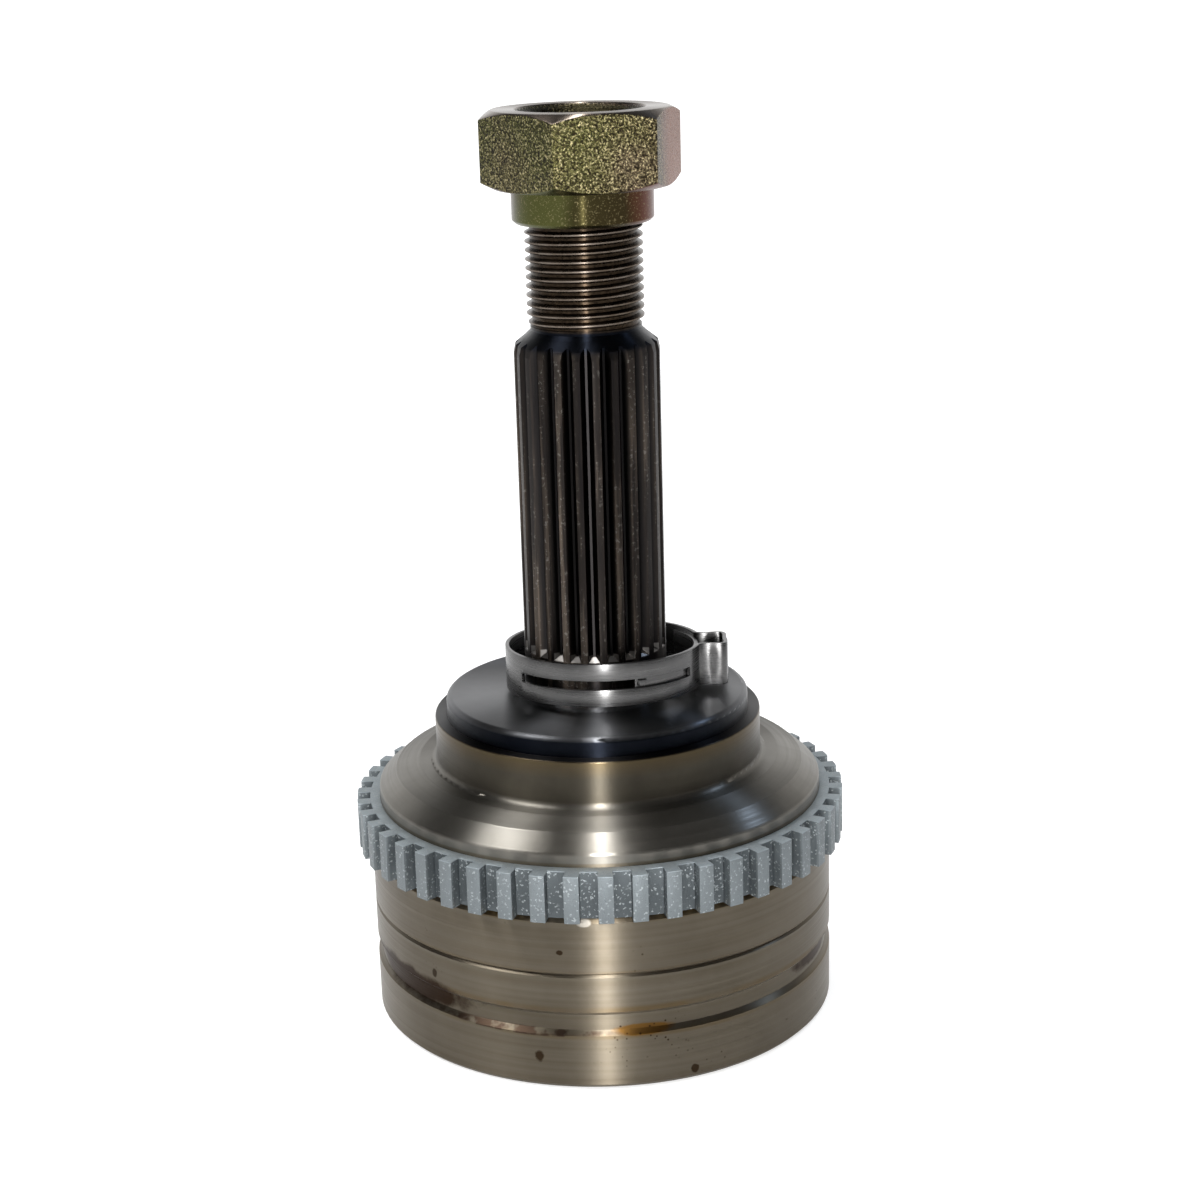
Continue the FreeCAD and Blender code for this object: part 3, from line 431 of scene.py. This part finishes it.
def yellow_zinc():
    """Yellow chromate: gritty olive flats with painted glints, smooth turned faces, a red side; on
    the smooth faces a painted reflection, painted glints and a painted highlight on the crown.
    """
    g = Graph("yellow_zinc_finish")
    height, across = g.height(), g.across()
    grain = g.noise(3000.0, 2.0, 0.6)
    cloud = g.noise(55.0, 2.0)
    sideways = g.product(g.x, 11.0)

    hue = g.ramp(g.math("ADD", cloud, sideways), (
        (0.30, (0.095, 0.094, 0.032)), (0.48, (0.120, 0.104, 0.046)),
        (0.60, (0.140, 0.100, 0.068)), (0.72, (0.16, 0.095, 0.078))))
    hue = g.mix(g.span(grain, 0.50, 0.41), hue, (0.016, 0.012, 0.007))
    # Painted glints: bright grain specks stand in for highlights.
    hue = g.mix(g.span(grain, 0.57, 0.66), hue, (0.46, 0.39, 0.22))
    hue = g.mix(g.span(g.x, 0.0128, 0.0146, 0.0, 0.85), hue, (0.30, 0.135, 0.088))

    # Colour across the smooth faces by x: chromate tint, partly a painted reflection in its dark
    # and light bands.
    plain = g.ramp(g.math("ADD", g.product(cloud, 0.12), g.math("ADD", sideways, 0.44)), (
        (0.37, (0.050, 0.022, 0.014)), (0.405, (0.072, 0.076, 0.024)),
        (0.455, (0.070, 0.072, 0.024)), (0.475, (0.034, 0.030, 0.011)),
        (0.565, (0.038, 0.028, 0.012)), (0.61, (0.105, 0.034, 0.020))))
    # Painted glints: golden specks on the smooth faces.
    plain = g.mix(g.span(grain, 0.58, 0.68, 0.0, 0.5), plain, (0.30, 0.25, 0.13))

    # Smooth faces: the collar, the top and both bevels of the hexagon.
    collar = g.inverse(g.span(height, NUT_FOOT + HEX_FOOT - 0.3, NUT_FOOT + HEX_FOOT + 0.4))
    top_side = g.span(height, NUT_FOOT + HEX_TOP - 0.4, NUT_FOOT + HEX_TOP - 0.1)
    half_hex = (HEX_TOP - HEX_FOOT) / 2
    middle = g.math("ABSOLUTE", g.math("SUBTRACT", height, NUT_FOOT + HEX_FOOT + half_hex))
    on_cone = g.math("ADD", middle, g.product(across, NUT_BEVEL_SLOPE))
    cut = g.math("GREATER_THAN", on_cone, half_hex + NUT_BEVEL_RADIUS * NUT_BEVEL_SLOPE - 0.05)
    smooth = g.math("MAXIMUM", g.math("MAXIMUM", collar, top_side), cut)
    # Painted highlight: the upper bevel and top face made lighter, as lit from above.
    painted_crown_light = g.product(smooth, g.span(height, NUT_FOOT + 13.0, NUT_FOOT + 13.5))
    plain = g.mix(painted_crown_light, plain, (0.20, 0.165, 0.135))
    color = g.mix(smooth, hue, plain)
    color = g.mix(g.span(across, 10.9, 10.4), color, (0.030, 0.026, 0.014))
    rough = g.blend(smooth, g.span(grain, 0.3, 0.7, 0.16, 0.34), 0.24)
    g.turned(0.9)
    return g.finish(color, rough, 1.0, g.bump(g.product(grain, g.inverse(smooth)), 1.0, 0.00022))


def stainless_strip():
    g = Graph("stainless_band_finish")
    soft = g.noise(120.0, 3.0, 0.5)
    lines = g.noise(1.0, 2.0, 0.6, g.scaled((90.0, 90.0, 4200.0)))
    color = g.tones(soft, (0.105, 0.104, 0.104), (0.15, 0.148, 0.146))
    g.turned(0.7)
    return g.finish(color, g.span(lines, 0.3, 0.7, 0.24, 0.34), 1.0, g.bump(lines, 0.08, 0.00004))


def dull_steel(name, dark, light, rough_low, rough_high):
    g = Graph(name)
    soft = g.noise(130.0, 4.0, 0.6)
    fine = g.noise(1400.0, 2.0, 0.6)
    rough = g.span(fine, 0.3, 0.7, rough_low, rough_high)
    return g.finish(g.tones(soft, dark, light), rough, 1.0, g.bump(fine, 0.08, 0.00006))


def thread_steel():
    """Dark roots and lighter crests, set by radius."""
    g = Graph("thread_finish")
    soft = g.noise(210.0, 4.0, 0.6)
    root = g.tones(soft, (0.022, 0.016, 0.012), (0.060, 0.040, 0.024))
    worn = g.ramp(soft, ((0.35, (0.10, 0.075, 0.055)), (0.65, (0.22, 0.185, 0.155))))
    # Crests lighter than the roots, set by radius.
    crest = g.span(g.across(), 9.55, 9.85)
    g.turned(0.6)
    return g.finish(g.mix(crest, root, worn), g.span(soft, 0.3, 0.7, 0.20, 0.34))


BALL_FINISH = dull_steel("ball_steel_finish", (0.50, 0.50, 0.51), (0.58, 0.58, 0.59), 0.06, 0.11)
THREAD_FINISH = thread_steel()
MATERIALS = {
    "outer_race": steel_machined(),
    "abs_tone_ring": zinc_sintered(),
    "axle_nut": yellow_zinc(),
    "boot_clamp": stainless_strip(),
    "ball_cage": dull_steel(
        "cage_steel_finish", (0.07, 0.068, 0.065), (0.14, 0.135, 0.13), 0.32, 0.48),
    "inner_race": dull_steel(
        "race_steel_finish", (0.17, 0.16, 0.15), (0.28, 0.27, 0.26), 0.24, 0.38),
    "retaining_circlip": dull_steel(
        "spring_steel_finish", (0.03, 0.03, 0.034), (0.07, 0.07, 0.075), 0.28, 0.40),
}
for name, node in NODES.items():
    node.data.materials.clear()
    node.data.materials.append(MATERIALS.get(name, BALL_FINISH))


# --------------------------------------------------------------- stub thread
def ridge(bm, foot, crest, low, high, steps=48, fade=0.7):
    """Wind one screw ridge between two heights, in mm."""
    turns = (high - low) / THREAD_PITCH
    count = int(turns * steps)
    before = None
    for step in range(count + 1):
        turn = turns * step / count
        strength = min(1.0, turn / fade, (turns - turn) / fade)
        top = foot + (crest - foot) * (0.12 + 0.88 * strength)
        section = ((foot, -0.41), (top, -0.08), (top, 0.08), (foot, 0.41))
        here = ring_of_points(
            bm, [(r, low + THREAD_PITCH * (turn + dz)) for r, dz in section], TURN * turn)
        if before:
            for k in range(4):
                n = (k + 1) % 4
                bm.faces.new((before[k], here[k], here[n], before[n]))
        else:
            bm.faces.new(here)
        before = here
    bm.faces.new(reversed(before))


bm = bmesh.new()
ridge(bm, THREAD_FOOT, THREAD_CREST, THREAD_LOW, THREAD_HIGH)
make_piece("stub_thread", bm, "bell", THREAD_FINISH, 25.0)


# ------------------------------------------------------------------ axle nut
def nut_mesh(bm, steps=144):
    """A hexagon with bevelled ends on a collar, bored through."""
    rings = []
    for step in range(steps):
        angle = TURN * step / steps
        corner = abs(((math.degrees(angle) + 30.0) % 60.0) - 30.0)
        flat = HALF_FLATS / math.cos(math.radians(30.0 - corner))
        drop = max(0.0, flat - NUT_BEVEL_RADIUS) * NUT_BEVEL_SLOPE
        outline = (
            (10.5, 0.0), (11.35, 0.0), (11.95, 0.6), (11.95, 5.45), (12.2, 5.75), (12.5, HEX_FOOT),
            (NUT_BEVEL_RADIUS, HEX_FOOT), (flat, HEX_FOOT + drop),
            (flat, HEX_TOP - drop), (NUT_BEVEL_RADIUS, HEX_TOP),
            (11.0, HEX_TOP), (10.05, 17.65), (10.05, 0.45))
        outline = [(r, NUT_FOOT + z) for r, z in outline]
        rings.append(ring_of_points(bm, outline, angle + math.radians(NUT_TURN)))
    join_rings(bm, rings)


bm = bmesh.new()
nut_mesh(bm)
nut = make_piece("hex_nut", bm, "nut", MATERIALS["axle_nut"], 22.0)
bevel(nut, 0.28, 3, 20.0)
apply_modifiers(nut)
shade(nut, 40.0)
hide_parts("axle_nut")
bm = bmesh.new()
ridge(bm, NUT_THREAD_FOOT, NUT_THREAD_CREST, NUT_FOOT + NUT_THREAD_LOW, NUT_FOOT + NUT_THREAD_HIGH)
make_piece("nut_thread", bm, "nut", MATERIALS["axle_nut"], 25.0)


# ---------------------------------------------------------------- boot clamp
def rounded(points, cuts=5):
    """Pass a smooth curve through the points."""
    made = []
    for k in range(len(points) - 1):
        p0 = points[max(k - 1, 0)]
        p1, p2 = points[k], points[k + 1]
        p3 = points[min(k + 2, len(points) - 1)]
        for step in range(cuts):
            t = step / cuts
            made.append(tuple(
                0.5 * (2 * b + (c - a) * t + (2 * a - 5 * b + 4 * c - d) * t * t
                       + (3 * b - a - 3 * c + d) * t ** 3)
                for a, b, c, d in zip(p0, p1, p2, p3)))
    made.append(points[-1])
    return made


def on_circle(radius, degrees):
    return radius * math.cos(math.radians(degrees)), radius * math.sin(math.radians(degrees))


def arc(radius, first, last, count):
    return [on_circle(radius, first + (last - first) * k / count) for k in range(count + 1)]


def in_slot(first, second, level):
    middle = math.degrees(math.atan2(first[1] + second[1], first[0] + second[0])) % 360.0
    return level == SLOT_LEVEL and abs(middle - SLOT_MIDDLE) < SLOT_HALF


def strip(bm, path, levels, closed=False, opening=None):
    """Stand a strip on a path; opening leaves quads out of one level."""
    rows = [[bm.verts.new((x * MM, y * MM, z * MM)) for z in levels] for x, y in path]
    for k in range(len(rows) if closed else len(rows) - 1):
        here, there = rows[k], rows[(k + 1) % len(rows)]
        for level in range(len(levels) - 1):
            if opening and opening(path[k], path[(k + 1) % len(path)], level):
                continue
            bm.faces.new((here[level], there[level], there[level + 1], here[level + 1]))


bm = bmesh.new()
half_ear = rounded(HALF_EAR)
ear_path = half_ear + [(x, -y) for x, y in reversed(half_ear[:-1])]
ear_end = math.degrees(math.atan2(ear_path[-1][1], ear_path[-1][0]))
band_path = arc(BAND_RADIUS, ear_end, 360.0 - ear_end, 164)
strip(bm, ear_path[:-1] + band_path[:-1], BAND_LEVELS, closed=True, opening=in_slot)
strip(bm, arc(TONGUE_RADIUS, TONGUE_FROM, TONGUE_TO, 48), TONGUE_LEVELS)
strip(bm, [on_circle(BAND_RADIUS * share, degrees) for degrees, share in HOOK], HOOK_LEVELS)
clamp = make_piece("clamp_strip", bm, "clamp", MATERIALS["boot_clamp"], 35.0)
solid = clamp.modifiers.new("Solid", "SOLIDIFY")
solid.thickness = BAND_THICKNESS * MM
solid.offset = 0.0
bevel(clamp, 0.12, 2, 40.0)
apply_modifiers(clamp)
shade(clamp, 40.0)
clamp.data.transform(
    Matrix.Translation((CLAMP_SHIFT * MM, 0.0, CLAMP_BASE * MM))
    @ Matrix.Rotation(math.radians(-CLAMP_LEAN), 4, "X"))
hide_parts("boot_clamp")


# ----------------------------------------------------------------- tone ring
def tone_ring_mesh(bm):
    """Square teeth, with gaps that keep one width from root to tip."""
    step = TURN / RING_TEETH
    tip_off = math.asin(RING_GAP / 2 / RING_TIP)
    root_off = math.asin(RING_GAP / 2 / RING_ROOT)
    rings = []
    for tooth in range(RING_TEETH):
        gap = math.radians(RING_TURN) + step * tooth
        for angle, radius in (
                (gap - root_off, RING_ROOT), (gap, RING_ROOT), (gap + root_off, RING_ROOT),
                (gap + tip_off, RING_TIP), (gap + step / 2, RING_TIP),
                (gap + step - tip_off, RING_TIP)):
            outline = (
                (RING_SEAT, RING_LOW), (radius, RING_LOW),
                (radius, RING_HIGH), (RING_SEAT, RING_HIGH))
            rings.append(ring_of_points(bm, outline, angle))
    join_rings(bm, rings)


bm = bmesh.new()
tone_ring_mesh(bm)
tone = make_piece("tone_ring_teeth", bm, "bell", MATERIALS["abs_tone_ring"], 30.0)
bevel(tone, 0.26, 2, 30.0)
apply_modifiers(tone)
shade(tone, 50.0)
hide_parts("abs_tone_ring")


# ------------------------------------------------------- stage, light, camera
FLOOR_SIDE = 60.0
FLOOR_LEVEL = -0.0002
FLOOR_GREY = 0.60
GLOW_IN_MIRRORS = 0.5
GLOW_REACH = (0.06, 0.9)         # metres from the part
GLOW_STRENGTH = (0.50, 1.0)
BEHIND = (0.15, 0.55)            # world direction, along Y
LOW_DOWN = (0.60, 0.30)          # world direction, along Z
ROOM_IN_MIRRORS = 0.10
SKY_LIGHT = 0.35
FOCAL_LENGTH = 2308.0 / 1200.0   # in image widths
SENSOR = 36.0


def stage_tree(tree):
    """Clear a tree and return calls that add nodes to it."""
    tree.nodes.clear()

    def node(kind, **settings):
        made = tree.nodes.new(kind)
        for key, value in settings.items():
            setattr(made, key, value)
        return made

    def feed(socket, value):
        if hasattr(value, "is_output"):
            tree.links.new(value, socket)
        else:
            socket.default_value = value

    def number(operation, first, second):
        made = node("ShaderNodeMath", operation=operation)
        feed(made.inputs[0], first)
        feed(made.inputs[1], second)
        return made.outputs[0]

    def span(value, ends, made_ends=(0.0, 1.0)):
        made = node("ShaderNodeMapRange")
        feed(made.inputs["Value"], value)
        for key, end in zip(("From Min", "From Max", "To Min", "To Max"), (*ends, *made_ends)):
            feed(made.inputs[key], end)
        return made.outputs[0]

    return node, feed, number, span


def floor_material():
    """A pale floor that looks white and keeps the shadow, clear from below."""
    material = bpy.data.materials.new("floor_finish")
    material.use_nodes = True
    node, feed, number, span = stage_tree(material.node_tree)
    rays = node("ShaderNodeLightPath").outputs
    plain = node("ShaderNodeBsdfDiffuse")
    feed(plain.inputs["Color"], (FLOOR_GREY, FLOOR_GREY, FLOOR_GREY, 1.0))
    away = node("ShaderNodeVectorMath", operation="LENGTH")
    feed(away.inputs[0], node("ShaderNodeTexCoord").outputs["Object"])
    glow = span(away.outputs["Value"], GLOW_REACH, GLOW_STRENGTH)
    mirrored = number("MULTIPLY", rays["Is Glossy Ray"], GLOW_IN_MIRRORS)
    seen = number("MAXIMUM", rays["Is Camera Ray"], mirrored)
    lift = node("ShaderNodeEmission")
    feed(lift.inputs["Strength"], number("MULTIPLY", seen, glow))
    both = node("ShaderNodeAddShader")
    feed(both.inputs[0], plain.outputs[0])
    feed(both.inputs[1], lift.outputs[0])
    sides = node("ShaderNodeMixShader")
    feed(sides.inputs[0], node("ShaderNodeNewGeometry").outputs["Backfacing"])
    feed(sides.inputs[1], both.outputs[0])
    feed(sides.inputs[2], node("ShaderNodeBsdfTransparent").outputs[0])
    feed(node("ShaderNodeOutputMaterial").inputs[0], sides.outputs[0])
    return material


def studio_world():
    """White to the camera; in mirrors white behind and low, dim in front."""
    world = bpy.data.worlds.new("studio")
    world.use_nodes = True
    node, feed, number, span = stage_tree(world.node_tree)
    rays = node("ShaderNodeLightPath").outputs
    parts = node("ShaderNodeSeparateXYZ")
    feed(parts.inputs[0], node("ShaderNodeTexCoord").outputs["Generated"])
    behind = span(parts.outputs["Y"], BEHIND)
    backdrop = number("MULTIPLY", behind, span(parts.outputs["Z"], LOW_DOWN))
    mirrored = number("ADD", number("MULTIPLY", backdrop, 1.0 - ROOM_IN_MIRRORS), ROOM_IN_MIRRORS)
    mirrored = number("MULTIPLY", mirrored, rays["Is Glossy Ray"])
    sky = number("MULTIPLY", rays["Is Diffuse Ray"], SKY_LIGHT)
    strength = number("MAXIMUM", rays["Is Camera Ray"], number("MAXIMUM", mirrored, sky))
    back = node("ShaderNodeBackground")
    feed(back.inputs["Color"], (1.0, 1.0, 1.0, 1.0))
    feed(back.inputs["Strength"], strength)
    feed(node("ShaderNodeOutputWorld").inputs[0], back.outputs[0])
    return world


def lamp(name, place, size, power, look_at=(0, 0, 0.07)):
    data = bpy.data.lights.new(name, "AREA")
    data.shape = "RECTANGLE"
    data.size, data.size_y = size
    data.energy = power
    made = bpy.data.objects.new(name, data)
    bpy.context.scene.collection.objects.link(made)
    made.location = place
    made.rotation_euler = (Vector(look_at) - Vector(place)).to_track_quat("-Z", "Y").to_euler()
    return made


half_floor = FLOOR_SIDE / 2
floor_mesh = bpy.data.meshes.new("floor")
floor_mesh.from_pydata(
    [(-half_floor, -half_floor, 0), (half_floor, -half_floor, 0),
     (half_floor, half_floor, 0), (-half_floor, half_floor, 0)], [], [(0, 1, 2, 3)])
floor_mesh.materials.append(floor_material())
floor = bpy.data.objects.new("floor", floor_mesh)
bpy.context.scene.collection.objects.link(floor)
floor.location = (0, 0, FLOOR_LEVEL)

bpy.context.scene.world = studio_world()
lamp("front_strip", (0.0, -1.35, 0.65), (0.07, 1.2), 25.0)
lamp("top_strip", (0.0, -0.1, 1.55), (0.08, 2.2), 10.0, (0.0, -0.1, 0.0))
lamp("left_soft", (-0.70, -0.255, 1.065), (0.42, 0.60), 9.0)
lamp("right_blue", (0.90, 0.36, 1.0), (0.16, 0.16), 1.2).data.color = (0.55, 0.72, 1.0)

camera_data = bpy.data.cameras.new("camera")
camera_data.sensor_width = SENSOR
camera_data.lens = FOCAL_LENGTH * SENSOR
camera_data.clip_start = 0.01
camera = bpy.data.objects.new("camera", camera_data)
bpy.context.scene.collection.objects.link(camera)
camera.matrix_world = (
    Matrix.Translation((0.0, -0.3874, 0.1859))
    @ Matrix.Rotation(math.radians(-0.149), 4, "Z")
    @ Matrix.Rotation(math.radians(90.0 - 16.26), 4, "X")
    @ Matrix.Rotation(math.radians(-1.64), 4, "Z"))
bpy.context.scene.camera = camera
bpy.context.scene.view_settings.view_transform = "Standard"

bpy.context.view_layer.update()
